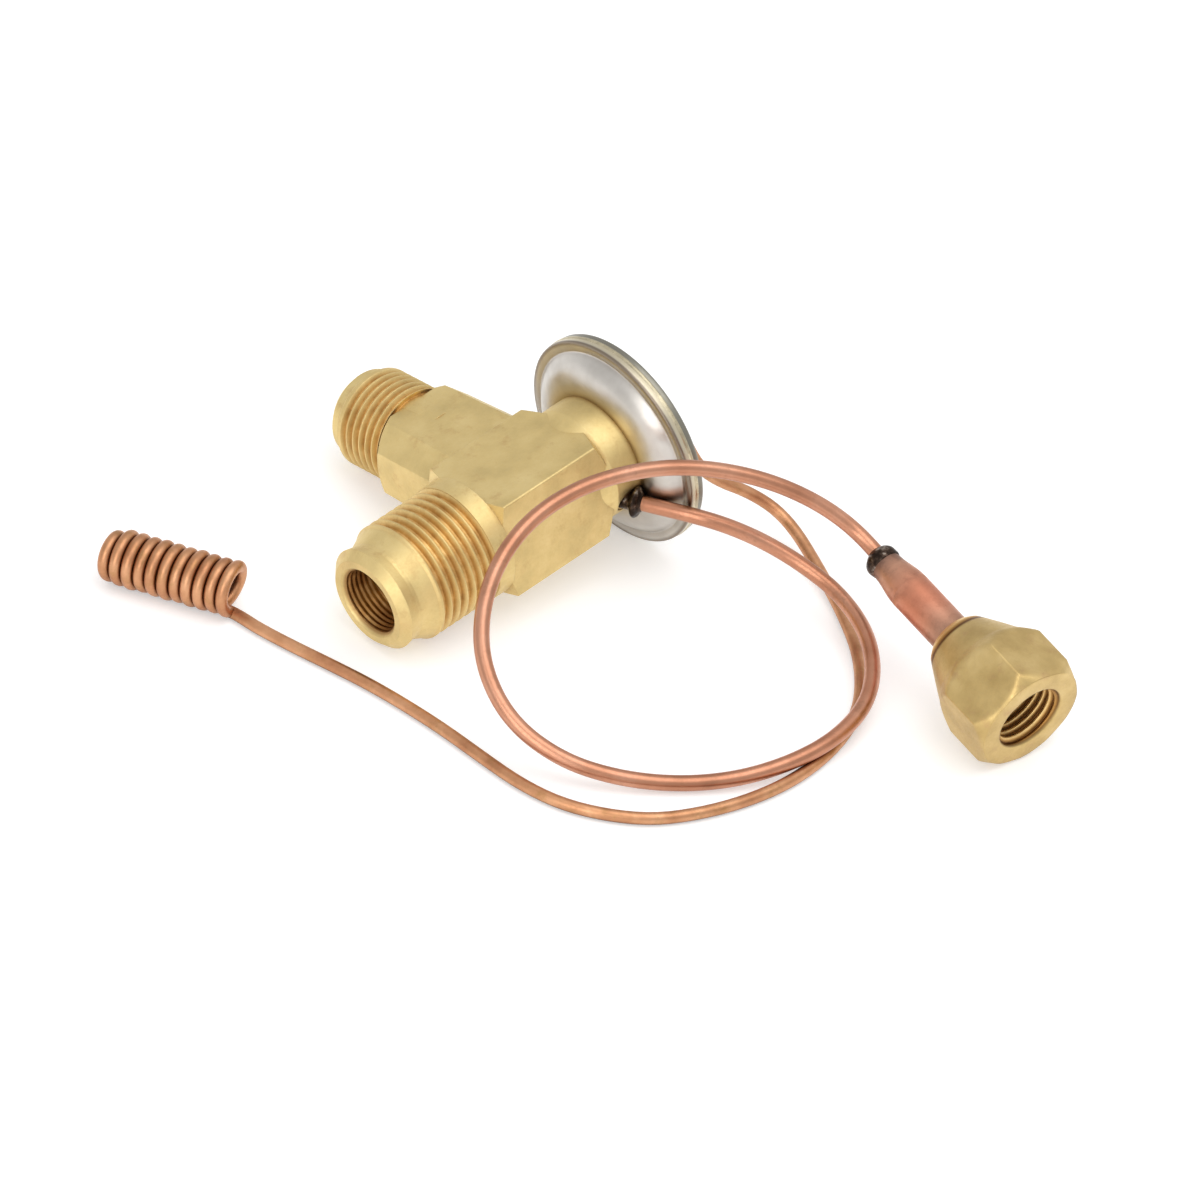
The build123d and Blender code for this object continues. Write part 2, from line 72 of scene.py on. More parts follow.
# camera, in mm: its axes, the point it turns about, and how wide it sees at that distance
view = {
    "right": (0.71962717, -0.68564950, 0.10964257),
    "down": (-0.34975848, -0.49434695, -0.79579526),
    "back": (-0.59983809, -0.53432748, 0.59555722),
    "aim": (3.8, -10.5, 13.7836),
    "away": 1500,
    "lookRight": 10.65,
    "lookDown": 15.22,
    "wide": 178.0,
    "sensor": 36,
    "clip": (0.05, 20),
}
camRight = Vector(view["right"])
aim = Vector(view["aim"])
eye = aim + view["away"] * Vector(view["back"])
look = aim + view["lookRight"] * camRight + view["lookDown"] * Vector(view["down"])
back = (eye - look).normalized()
side = (camRight - camRight.dot(back) * back).normalized()
up = back.cross(side)
camera = bpy.data.objects.new("camera", bpy.data.cameras.new("camera"))
bpy.context.scene.collection.objects.link(camera)
turn = Matrix((side, up, back)).transposed().to_4x4()
camera.matrix_world = Matrix.Translation(eye * mm) @ turn
camera.data.sensor_width = view["sensor"]
camera.data.lens = view["sensor"] * view["away"] / view["wide"]
camera.data.clip_start, camera.data.clip_end = view["clip"]
bpy.context.scene.camera = camera
bpy.context.scene.view_settings.view_transform = "Standard"
print("camera done")


def newMaterial(name):
    mat = bpy.data.materials.new(name)
    mat.use_nodes = True
    tree = mat.node_tree
    tree.nodes.clear()
    out = tree.nodes.new("ShaderNodeOutputMaterial")
    shader = tree.nodes.new("ShaderNodeBsdfPrincipled")
    tree.links.new(shader.outputs[0], out.inputs[0])
    return mat, tree, shader


def coords(tree):
    return tree.nodes.new("ShaderNodeTexCoord").outputs["Object"]


def noise(tree, vector, scale, detail=4.0, rough=0.55):
    tex = tree.nodes.new("ShaderNodeTexNoise")
    tex.inputs["Scale"].default_value = scale
    tex.inputs["Detail"].default_value = detail
    tex.inputs["Roughness"].default_value = rough
    tree.links.new(vector, tex.inputs["Vector"])
    return tex.outputs["Fac"]


def ramp(tree, value, stops):
    node = tree.nodes.new("ShaderNodeValToRGB")
    elements = node.color_ramp.elements
    while len(elements) < len(stops):
        elements.new(0.5)
    for element, (place, colour) in zip(elements, stops):
        element.position = place
        element.color = (*colour, 1)
    tree.links.new(value, node.inputs["Fac"])
    return node.outputs["Color"]


def spread(tree, value, low, high, fromLow=0.3, fromHigh=0.7):
    # low up to fromLow, high from fromHigh on, and a straight line between
    node = tree.nodes.new("ShaderNodeMapRange")
    node.inputs["From Min"].default_value = fromLow
    node.inputs["From Max"].default_value = fromHigh
    node.inputs["To Min"].default_value = low
    node.inputs["To Max"].default_value = high
    tree.links.new(value, node.inputs["Value"])
    return node.outputs["Result"]


def combine(tree, kind, first, second):
    node = tree.nodes.new("ShaderNodeMath")
    node.operation = kind
    for value, socket in ((first, 0), (second, 1)):
        if isinstance(value, (int, float)):
            node.inputs[socket].default_value = value
        else:
            tree.links.new(value, node.inputs[socket])
    return node.outputs[0]


def blendColour(tree, amount, first, second):
    # first where amount is 0, second where it is 1
    node = tree.nodes.new("ShaderNodeMix")
    node.data_type = "RGBA"
    for value, socket in ((amount, 0), (first, 6), (second, 7)):
        if isinstance(value, (int, float)):
            node.inputs[socket].default_value = value
        elif isinstance(value, tuple):
            node.inputs[socket].default_value = (*value, 1)
        else:
            tree.links.new(value, node.inputs[socket])
    return node.outputs[2]


def station(tree, direction, origin):
    # distance of the shaded point from origin along direction, in mm
    dot = tree.nodes.new("ShaderNodeVectorMath")
    dot.operation = "DOT_PRODUCT"
    dot.inputs[1].default_value = tuple(float(value) for value in direction)
    tree.links.new(coords(tree), dot.inputs[0])
    base = float(np.dot(origin, direction))
    inMm = combine(tree, "MULTIPLY", dot.outputs["Value"], 1000.0)
    return combine(tree, "SUBTRACT", inMm, base)


def radiusFrom(tree, sideA, sideB, origin):
    # distance of the shaded point from an axis: the root of the two squared stations across it
    first = combine(tree, "POWER", station(tree, sideA, origin), 2.0)
    second = combine(tree, "POWER", station(tree, sideB, origin), 2.0)
    return combine(tree, "SQRT", combine(tree, "ADD", first, second), 0.0)


def window(tree, value, low, high, soft=0.3):
    # 1 between low and high, 0 outside
    rise = spread(tree, value, 0.0, 1.0, low - soft, low + soft)
    fall = spread(tree, value, 1.0, 0.0, high - soft, high + soft)
    return combine(tree, "MULTIPLY", rise, fall)


def within(tree, along, radius, spot):
    # 1 between two stations and inside a radius, 0 outside
    span = window(tree, along, *spot["span"])
    return combine(tree, "MULTIPLY", span, spread(tree, radius, 1.0, 0.0, *spot["inside"]))


def laidOver(tree, colour, mask, share, overlay):
    # colour with a second colour's share laid over it where mask is 1: real stains and heat tint in
    # some places, painted shade, shadow, highlight and reflection in others
    return blendColour(tree, combine(tree, "MULTIPLY", mask, share), colour, overlay)


def shelter(tree, distance):
    # 0 in narrow gaps and corners, 1 in the open
    node = tree.nodes.new("ShaderNodeAmbientOcclusion")
    node.samples = 6
    node.inputs["Distance"].default_value = distance
    return node.outputs["AO"]


def bump(tree, shader, height, strength, distance, edge=0.0):
    node = tree.nodes.new("ShaderNodeBump")
    node.inputs["Strength"].default_value = strength
    node.inputs["Distance"].default_value = distance
    tree.links.new(height, node.inputs["Height"])
    if edge:
        worn = tree.nodes.new("ShaderNodeBevel")
        worn.samples = 4
        worn.inputs["Radius"].default_value = edge
        tree.links.new(worn.outputs["Normal"], node.inputs["Normal"])
    tree.links.new(node.outputs["Normal"], shader.inputs["Normal"])


def metal(name, look):
    # colour drifts in soft patches, corners and gaps get painted shade with some brown grime, fine
    # grain drives roughness and bump
    mat, tree, shader = newMaterial(name)
    here = coords(tree)
    patches = noise(tree, here, look.get("scale", 180), 5)
    fine = noise(tree, here, look.get("grain", 2600), 3)
    colour = ramp(tree, patches, look["stops"])
    if "overlay" in look:
        size, dark, low, high = look["overlay"]
        spots = noise(tree, here, size, 6, 0.7)
        colour = blendColour(tree, spread(tree, spots, 0.0, 1.0, low, high), colour, dark)
    # painted shade with some grime: the colour goes towards a dark one where ambient occlusion
    # finds corners and gaps
    if "cornerShadeAndGrime" in look:
        dark, reach, low, high = look["cornerShadeAndGrime"]
        shadeAndGrime = spread(tree, shelter(tree, reach), 1.0, 0.0, low, high)
        colour = blendColour(tree, shadeAndGrime, colour, dark)
    tree.links.new(colour, shader.inputs["Base Color"])
    tree.links.new(spread(tree, fine, *look["rough"]), shader.inputs["Roughness"])
    shader.inputs["Metallic"].default_value = 1.0
    strength, height = look.get("bump", 0.35), look.get("height", 0.00002)
    bump(tree, shader, fine, strength, height, look.get("edge", 0.0))
    return mat, tree, shader, colour


brassLook = {
    "stops": [(0.30, (0.66, 0.51, 0.23)), (0.52, (0.76, 0.59, 0.27)), (0.72, (0.83, 0.66, 0.32))],
    "overlay": (260, (0.60, 0.40, 0.17), 0.56, 0.80),
    # painted shade with some brown grime in corners and gaps
    "cornerShadeAndGrime": ((0.36, 0.20, 0.07), 0.0009, 0.30, 0.95),
    "rough": (0.42, 0.58),
    "edge": 0.00018,
}
# the two threads and the two bores, in mm from the valve's centre: painted shade, mottled and
# strongest in the thread roots, and darker inside the bores
brassSpots = {
    "outThread": {"span": (-26.3, -14.6), "inside": (9.6, 9.9), "groove": (8.75, 9.45)},
    "inThread": {"span": (24.6, 34.2), "inside": (8.0, 8.3), "groove": (7.25, 7.86)},
    "outBore": {"span": (-32.35, -13.0), "inside": (5.4, 5.7)},
    "inBore": {"span": (12.0, 37.45), "inside": (4.2, 4.5)},
    "crest": 0.15,
    "rootShadeNoise": (420, 4, 0.6),
    "rootShade": [(0.3, (0.50, 0.29, 0.10)), (0.55, (0.70, 0.45, 0.17)), (0.75, (0.84, 0.60, 0.27))],
    "boreShade": (0.42, 0.24, 0.09),
    "boreShadeShare": 0.85,
}
brassBody, tree, shader, plain = metal("brass_body", brassLook)
outAlong = station(tree, headDir, centre)
outRadius = radiusFrom(tree, inletDir, upDir, centre)
inAlong = station(tree, inletDir, centre)
inRadius = radiusFrom(tree, headDir, upDir, centre)
masks = []
for name, along, radius in (("outThread", outAlong, outRadius), ("inThread", inAlong, inRadius)):
    spot = brassSpots[name]
    depth = spread(tree, radius, 1.0, brassSpots["crest"], *spot["groove"])
    masks.append(combine(tree, "MULTIPLY", within(tree, along, radius, spot), depth))
# painted shade in the thread roots: full in the roots, a little on the crests
rootShadeMask = combine(tree, "MAXIMUM", *masks)
rootShade = ramp(tree, noise(tree, coords(tree), *brassSpots["rootShadeNoise"]), brassSpots["rootShade"])
# painted shade inside the two bores
outBore = within(tree, outAlong, outRadius, brassSpots["outBore"])
inBore = within(tree, inAlong, inRadius, brassSpots["inBore"])
inside = combine(tree, "MAXIMUM", outBore, inBore)
dressed = blendColour(tree, rootShadeMask, plain, rootShade)
dressed = laidOver(tree, dressed, inside, brassSpots["boreShadeShare"], brassSpots["boreShade"])
tree.links.new(dressed, shader.inputs["Base Color"])

brassNut, tree, shader, plain = metal(
    "brass_nut",
    {
        "stops": [
            (0.30, (0.50, 0.35, 0.14)),
            (0.52, (0.62, 0.45, 0.19)),
            (0.72, (0.72, 0.54, 0.25)),
        ],
        "overlay": (300, (0.50, 0.31, 0.15), 0.56, 0.82),
        # painted shade with some brown grime in corners and gaps
        "cornerShadeAndGrime": ((0.30, 0.16, 0.05), 0.0006, 0.30, 0.95),
        "rough": (0.36, 0.52),
    },
)
# inside of the nut, in mm from the stub's start: painted highlights on the crests and painted shade
# in the roots
nutSpot = {
    "span": (17.0, 35.55),
    "inside": (5.55, 5.75),
    "groove": (4.85, 5.5),
    "cut": [(0.15, (0.86, 0.60, 0.26)), (0.55, (0.50, 0.27, 0.08)), (0.9, (0.16, 0.07, 0.02))],
}
nutRadius = radiusFrom(tree, stubAcross, np.cross(stubDir, stubAcross), stubStart)
hollow = within(tree, station(tree, stubDir, stubStart), nutRadius, nutSpot)
# painted light and shade by radius: bright on the crests, near black in the roots
cut = ramp(tree, spread(tree, nutRadius, 0.0, 1.0, *nutSpot["groove"]), nutSpot["cut"])
tree.links.new(blendColour(tree, hollow, plain, cut), shader.inputs["Base Color"])

# painted shade: a dark copy of the brass for the thread lining inside the outlet bore
shadedBrassBore = metal(
    "brass_bore_shaded",
    {
        "stops": [
            (0.30, (0.27, 0.13, 0.04)),
            (0.52, (0.40, 0.21, 0.07)),
            (0.72, (0.55, 0.33, 0.13)),
        ],
        "rough": (0.35, 0.50),
        "scale": 420,
    },
)[0]

steelHead, tree, shader, plain = metal(
    "steel_head",
    {
        "stops": [
            (0.30, (0.52, 0.49, 0.45)),
            (0.55, (0.61, 0.58, 0.54)),
            (0.75, (0.68, 0.65, 0.60)),
        ],
        # painted shade in corners and gaps of the head
        "cornerShadeAndGrime": ((0.20, 0.15, 0.10), 0.0012, 0.45, 0.95),
        "rough": (0.30, 0.38),
        "grain": 1500,
        "bump": 0.12,
    },
)
# rim: painted shadow in the crease in front, a straw tint from the weld with a painted golden
# highlight, painted shade on the edge behind; a painted reflection of the brass near the neck
rimTintShadeAndSheen = {
    "outer": (16.3, 16.8),
    "front": {"span": (16.8, 17.5, 0.15), "share": 0.85, "colour": (0.20, 0.15, 0.10)},
    # straw: a real weld tint with a painted golden highlight
    "straw": {"span": (17.5, 18.6, 0.15), "share": 0.8, "colour": (0.66, 0.58, 0.40)},
    "behind": {"span": (18.5, 18.8), "share": 0.85, "colour": (0.21, 0.20, 0.16)},
    "neckRadius": (9.6, 11.5),
    "neck": {"span": (15.5, 17.0), "share": 0.5, "colour": (0.55, 0.44, 0.24)},
}
headAlong = station(tree, headDir, centre)
headRadius = radiusFrom(tree, inletDir, upDir, centre)
outer = spread(tree, headRadius, 0.0, 1.0, *rimTintShadeAndSheen["outer"])
nearNeck = spread(tree, headRadius, 1.0, 0.0, *rimTintShadeAndSheen["neckRadius"])
rimTintShadeAndSheenMasks = {
    "front": (outer, window(tree, headAlong, *rimTintShadeAndSheen["front"]["span"])),
    "straw": (outer, window(tree, headAlong, *rimTintShadeAndSheen["straw"]["span"])),
    "behind": (outer, spread(tree, headAlong, 0.0, 1.0, *rimTintShadeAndSheen["behind"]["span"])),
    "neck": (nearNeck, spread(tree, headAlong, 1.0, 0.0, *rimTintShadeAndSheen["neck"]["span"])),
}
# the bands lay, in turn, a painted shadow, a weld tint with a painted highlight, painted shade and
# a painted reflection over the steel
rim = plain
for name, (around, along) in rimTintShadeAndSheenMasks.items():
    mask = combine(tree, "MULTIPLY", around, along)
    rim = laidOver(tree, rim, mask, rimTintShadeAndSheen[name]["share"], rimTintShadeAndSheen[name]["colour"])
tree.links.new(rim, shader.inputs["Base Color"])

steelInner = metal(
    "steel_inner",
    {"stops": [(0.35, (0.42, 0.42, 0.42)), (0.65, (0.55, 0.55, 0.55))], "rough": (0.2, 0.35)},
)[0]
weldStraw = metal(
    "weld_straw",
    {
        "stops": [(0.30, (0.42, 0.37, 0.26)), (0.65, (0.66, 0.58, 0.40))],
        "rough": (0.25, 0.4),
        "scale": 500,
    },
)[0]
copperLine = metal(
    "copper_line",
    {
        "stops": [
            (0.28, (0.43, 0.19, 0.11)),
            (0.5, (0.55, 0.26, 0.16)),
            (0.72, (0.63, 0.33, 0.22)),
        ],
        "overlay": (330, (0.36, 0.18, 0.11), 0.55, 0.85),
        "rough": (0.28, 0.42),
        "scale": 120,
        "bump": 0.25,
    },
)[0]
copperCoil = metal(
    "copper_coil",
    {
        "stops": [
            (0.28, (0.45, 0.20, 0.10)),
            (0.5, (0.58, 0.29, 0.15)),
            (0.72, (0.70, 0.38, 0.21)),
        ],
        "overlay": (420, (0.40, 0.22, 0.08), 0.52, 0.82),
        # painted shade between the coil's turns and in its gaps
        "cornerShadeAndGrime": ((0.16, 0.06, 0.02), 0.0011, 0.25, 0.90),
        "rough": (0.36, 0.50),
        "scale": 240,
    },
)[0]

copperStub, tree, shader, plain = metal(
    "copper_stub",
    {
        "stops": [
            (0.28, (0.50, 0.26, 0.17)),
            (0.5, (0.62, 0.34, 0.23)),
            (0.72, (0.70, 0.42, 0.30)),
        ],
        "overlay": (420, (0.36, 0.20, 0.14), 0.48, 0.70),
        "rough": (0.38, 0.54),
        "scale": 150,
    },
)
# heat from brazing, in mm from the stub's start: redder in the middle, grey towards both ends
heat = {
    "warm": {"span": (6.5, 14.5, 3.0), "share": 0.65, "colour": (0.62, 0.20, 0.11)},
    "cool": {"span": (13.5, 17.0), "share": 0.55, "colour": (0.34, 0.20, 0.14)},
    "soot": {"span": (0.8, 3.2), "share": 0.8, "colour": (0.10, 0.06, 0.05)},
}
along = station(tree, stubDir, stubStart)
heatMasks = {
    "warm": window(tree, along, *heat["warm"]["span"]),
    "cool": spread(tree, along, 0.0, 1.0, *heat["cool"]["span"]),
    "soot": spread(tree, along, 1.0, 0.0, *heat["soot"]["span"]),
}
heated = plain
for name, mask in heatMasks.items():
    heated = laidOver(tree, heated, mask, heat[name]["share"], heat[name]["colour"])
tree.links.new(heated, shader.inputs["Base Color"])

brazeDark = metal(
    "braze_dark",
    {
        "stops": [
            (0.42, (0.03, 0.02, 0.015)),
            (0.56, (0.09, 0.06, 0.045)),
            (0.70, (0.50, 0.44, 0.38)),
        ],
        "rough": (0.25, 0.45),
        "scale": 900,
        "height": 0.00008,
    },
)[0]
springSteel = metal(
    "spring_steel",
    {
        "stops": [(0.3, (0.2, 0.2, 0.2)), (0.7, (0.35, 0.35, 0.35))],
        "rough": (0.25, 0.4),
    },
)[0]
meshSteel, tree, shader = metal(
    "mesh_steel",
    {
        "stops": [(0.3, (0.3, 0.3, 0.3)), (0.7, (0.42, 0.42, 0.42))],
        "rough": (0.35, 0.5),
    },
)[:3]
weaveLook = {"scale": 2400, "stops": [(0.25, (0.05, 0.05, 0.05)), (0.5, (0.45, 0.45, 0.44))]}
weave = tree.nodes.new("ShaderNodeTexVoronoi")
weave.inputs["Scale"].default_value = weaveLook["scale"]
tree.links.new(coords(tree), weave.inputs["Vector"])
woven = ramp(tree, weave.outputs["Distance"], weaveLook["stops"])
tree.links.new(woven, shader.inputs["Base Color"])

slotMaterials = {
    "brass_body": brassBody,
    "brass_nut": brassNut,
    "steel_head": steelHead,
    "steel_inner": steelInner,
    "weld_straw": weldStraw,
    "copper_line": copperLine,
    "copper_coil": copperCoil,
    "braze_dark": brazeDark,
    "spring_steel": springSteel,
    "mesh_steel": meshSteel,
}
for entry in frame["record"]["subparts"]:
    node = nodes[entry["node"]]
    mat = slotMaterials[entry["material_slot"]]
    if not node.material_slots:
        node.data.materials.append(mat)
    for place in node.material_slots:
        place.material = mat
print("materials done")


def skin(name, rows, mat, closed=False):
    # mesh through rows of points, each row a closed ring; closed joins the last row to the first.
    # A face is this point, the next one round, and the same two in the next row, so it points
    # outwards where the rows of an outer side run along the axis.
    count, around = rows.shape[:2]
    row = np.arange(count if closed else count - 1)[:, None]
    spot = np.arange(around)[None, :]
    below = (row + 1) % count
    beside = (spot + 1) % around
    faces = np.stack(
        (
            row * around + spot,
            row * around + beside,
            below * around + beside,
            below * around + spot,
        ),
        axis=-1,
    ).reshape(-1, 4)
    data = bpy.data.meshes.new(name)
    data.from_pydata((rows.reshape(-1, 3) * mm).tolist(), [], faces.tolist())
    data.polygons.foreach_set("use_smooth", np.ones(len(faces), bool))
    data.materials.append(mat)
    data.update()
    thing = bpy.data.objects.new(name, data)
    bpy.context.scene.collection.objects.link(thing)
    return thing


def turned(origin, along, across, stations, radii, around=120):
    # rows of a surface of revolution: origin, plus the station along the axis, plus the radius
    # times a unit ring across it; radii is one value a row, or one value a row and angle
    upward = np.cross(along, across)
    angle = circle(around)
    ring = np.cos(angle)[:, None] * across + np.sin(angle)[:, None] * upward
    radii = np.asarray(radii, float)
    if radii.ndim == 1:
        radii = np.repeat(radii[:, None], around, axis=1)
    stations = np.asarray(stations, float)
    return origin + stations[:, None, None] * along + radii[:, :, None] * ring


def circle(around):
    # equal angles once round, the first at 0
    return np.linspace(0, 2 * math.pi, around, endpoint=False)


def soften(points, times=2):
    # rounds a closed outline: each side keeps its middle half, and the corners fall away
    outline = np.array(points, float)
    for _ in range(times):
        after = np.roll(outline, -1, axis=0)
        near = 0.75 * outline + 0.25 * after
        far = 0.25 * outline + 0.75 * after
        outline = np.stack((near, far), axis=1).reshape(-1, 2)
    return outline


def turnedSkin(name, look, origin, along, across, mat):
    # closed skin of revolution through a softened outline of (station, radius)
    outline = soften(look["outline"])
    rows = turned(origin, along, across, outline[:, 0], outline[:, 1], look["around"])
    return skin(name, rows, mat, True)


def threadRidge(stations, pitch, around):
    # height of a thread's turns: 0 in the root, 1 on the crest, a straight flank between; the
    # turn is the station over the pitch plus the angle over a full circle
    turns = stations[:, None] / pitch + circle(around)[None, :] / (2 * math.pi)
    return 1 - np.abs(2 * (turns % 1.0) - 1)


def fadeEnds(stations, low, high, reach):
    # 0 at low and high, rising to 1 over reach from either
    rise = np.clip((stations - low) / reach, 0, 1)
    return (rise * np.clip((high - stations) / reach, 0, 1))[:, None]


def dress(piece, slot, body, *replaced):
    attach(piece, body)
    if replaced:
        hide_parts(*replaced)
    return piece


def spline(name, points, look, mat):
    # a round tube along a smooth curve that is led by points in mm and ends at the last
    data = bpy.data.curves.new(name, "CURVE")
    data.dimensions = "3D"
    data.bevel_depth = look["radius"] * mm
    data.bevel_resolution = 6
    data.resolution_u = look["steps"]
    data.use_fill_caps = True
    line = data.splines.new("NURBS")
    line.points.add(len(points) - 1)
    places = np.column_stack((np.array(points) * mm, np.ones(len(points))))
    line.points.foreach_set("co", places.ravel())
    line.order_u = 3
    line.use_endpoint_u = True
    data.materials.append(mat)
    thing = bpy.data.objects.new(name, data)
    bpy.context.scene.collection.objects.link(thing)
    return thing


def lineLength(thing):
    # length of a line's middle: the sum of the steps along its curve, made without thickness
    plain = thing.data.copy()
    plain.bevel_depth = 0
    probe = bpy.data.objects.new("probe", plain)
    bpy.context.scene.collection.objects.link(probe)
    bpy.context.view_layer.update()
    seen = probe.evaluated_get(bpy.context.evaluated_depsgraph_get())
    made = bpy.data.meshes.new_from_object(seen)
    places = np.array([v.co[:] for v in made.vertices])
    bpy.data.objects.remove(probe)
    bpy.data.meshes.remove(made)
    return float(np.linalg.norm(np.diff(places, axis=0), axis=1).sum())


# the port in the neck: it stands 25 degrees below the side, and the tube leans away from it
port = {
    "station": 12.0,
    "below": 25,
    "root": 7.3,
    "mouth": 9.35,
    "lean": (0.404, -0.907, -0.116),  # along the head, the inlet and up
    "free": (0.6, 5.0),
}
below = math.radians(port["below"])
portOut = -math.cos(below) * inletDir - math.sin(below) * upDir
portMid = fromValve(port["station"])
portMouth = portMid + port["mouth"] * portOut
portLean = port["lean"][0] * headDir + port["lean"][1] * inletDir + port["lean"][2] * upDir
portLean = portLean / np.linalg.norm(portLean)

# the equaliser tube: from the port once round the loop and into the stub, points in mm
equaliserLook = {"radius": 1.2, "steps": 10, "stubBefore": 3.8, "stubAside": 0.5, "stubInto": 2.0}
equaliserRoute = [
    tuple(portMid + port["root"] * portOut),
    tuple(portMouth + port["free"][0] * portLean),
    tuple(portMouth + port["free"][1] * portLean),
    (20.7, -29.9, 14.7),
    (24.1, -33.4, 13.5),
    (28.0, -37.5, 11.3),
    (31.0, -43.0, 9.0),
    (32.2, -49.3, 7.3),
    (30.3, -56.9, 6.1),
    (25.7, -63.4, 5.1),
    (19.0, -68.3, 4.3),
    (10.6, -70.4, 3.5),
    (2.2, -69.8, 2.6),
    (-6.1, -67.1, 1.7),
    (-13.7, -62.6, 1.4),
    (-20.6, -56.9, 2.1),
    (-26.1, -50.3, 3.8),
    (-29.0, -42.3, 6.9),
    (-27.9, -34.6, 11.3),
    (-24.4, -29.5, 16.4),
    (-18.6, -26.1, 21.1),
    (-11.4, -24.4, 24.5),
    (-3.0, -24.5, 26.5),
    (5.7, -26.3, 27.2),
    (14.0, -29.5, 26.9),
    (21.4, -34.0, 25.5),
    (27.6, -39.0, 23.2),
    (33.2, -44.1, 19.4),
    tuple(
        stubStart - equaliserLook["stubBefore"] * stubDir + equaliserLook["stubAside"] * stubAcross
    ),
    tuple(stubStart + equaliserLook["stubInto"] * stubDir),
]
equaliser = dress(
    spline("equaliser_tube", equaliserRoute, equaliserLook, copperLine),
    "copper_line",
    "valve",
    "equaliser_line",
)

# the sensing tube: from the hub, bent down behind the head, round the floor and into its coil
sensingLook = {"radius": 0.95, "steps": 4}
sensingRoute = [
    tuple(fromValve(23.2)),
    tuple(fromValve(26.5)),
    tuple(fromValve(28.1, -1.3, -1.9)),
    tuple(fromValve(28.2, -3.6, -5.4)),
    tuple(fromValve(28.1, -5.9, -8.7)),
    (34.6, -20.6, 9.6),
    (38.6, -23.0, 7.4),
    (41.5, -26.4, 5.1),
    (41.7, -31.0, 3.5),
    (39.9, -37.0, 2.3),
    (37.7, -42.9, 1.4),
    (34.8, -49.0, 1.0),
    (30.9, -55.4, 1.0),
    (26.3, -60.8, 1.0),
    (21.1, -65.3, 1.0),
    (14.9, -68.6, 1.0),
    (7.7, -70.7, 1.0),
    (0.1, -71.6, 1.0),
    (-7.7, -71.0, 1.0),
    (-15.2, -69.1, 1.0),
    (-21.9, -66.1, 1.0),
    (-26.8, -61.3, 1.0),
    (-30.4, -55.6, 1.0),
    (-32.1, -48.8, 1.0),
    (-32.4, -41.1, 1.0),
    (-32.5, -33.3, 1.0),
    (-33.1, -25.8, 1.0),
    (-34.1, -18.5, 1.0),
    (-35.6, -11.8, 1.0),
    (-37.3, -4.9, 1.0),
    (-38.5, 1.2, 1.0),
    (-38.7, 4.2, 1.0),
]
# the coil: turns round an axis from near to far, lying on the floor, mm
coil = {
    "near": (-38.47, 7.6, 4.3),
    "far": (-47.37, 24.14, 4.3),
    "radius": 3.35,
    "turns": 10.75,
    "points": 16,  # a turn
    "firstAngle": -1.25,
    "stations": (-0.9, 19.1),
    "lean": 0.75,
    "drawn": (0.7, 9.75, 1.3),  # how far in, from which turn, how suddenly
    "uneven": ((0.06, 4.1, 0.0), (0.04, 2.3, 1.0)),  # size, pace in radians a turn, shift
    "lowest": 0.97,
}
coilNear = np.array(coil["near"])
coilAlong = np.array(coil["far"]) - coilNear
coilAlong = coilAlong / np.linalg.norm(coilAlong)
coilUp = np.array((0, 0, 1.0))
coilSide = np.cross(coilUp, coilAlong)
coilCount = round(coil["turns"] * coil["points"])
# the winding: the angle grows with the turn; the radius is a little uneven by two sines, is drawn
# in at the end, and is made up for the corners that the curve cuts; the station grows with the
# turn and leans by the cosine of the angle
step = np.arange(coilCount + 1)
turn = step / coil["points"]
angle = coil["firstAngle"] + 2 * math.pi * turn
uneven = sum(size * np.sin(shift + pace * turn) for size, pace, shift in coil["uneven"])
drawnIn, drawnFrom, drawnPower = coil["drawn"]
drawn = drawnIn * np.maximum(0.0, turn - drawnFrom) ** drawnPower
wound = (coil["radius"] - drawn + uneven) / math.cos(math.pi / coil["points"])
first, last = coil["stations"]
leaning = first + (last - first) * step / coilCount + coil["lean"] * np.cos(angle)
winding = coilNear + leaning[:, None] * coilAlong
winding = winding + (wound * np.cos(angle))[:, None] * coilSide
winding = winding + (wound * np.sin(angle))[:, None] * coilUp
winding[:, 2] = np.maximum(winding[:, 2], coil["lowest"])
sensing = dress(
    spline("sensing_tube", sensingRoute + winding.tolist(), sensingLook, copperCoil),
    "copper_line",
    "valve",
    "sensing_line",
    "sensing_coil",
)

# stub tube on the equaliser line: outlines are (station, radius) in mm
stubLook = {
    "around": 64,
    "outline": [
        (0.4, 1.22), (0.4, 2.4), (1.4, 2.45), (2.6, 2.56), (4.0, 2.84), (5.4, 3.1),
        (6.8, 3.175), (6.8, 3.175), (23.7, 3.175), (23.7, 3.175), (25.1, 4.55), (25.1, 4.55),
        (25.1, 3.6), (23.9, 2.375), (7.0, 2.375), (5.6, 1.22),
    ],
}
stubTube = turnedSkin("stub_tube", stubLook, stubStart, stubDir, stubAcross, copperStub)
dress(stubTube, "copper_line", "valve", "equaliser_stub")

# the braze's lumps: size, waves round the ring, shift, and slant in radians a mm along it; they
# start at a radius in mm and grow to the full amount over the next bit
brazeWaves = ((0.5, 2, 0.7, 0.0), (0.35, 5, 0.0, 2.1), (0.25, 9, 0.0, -3.0))
brazeFrom = 1.3
brazeOver = 0.6


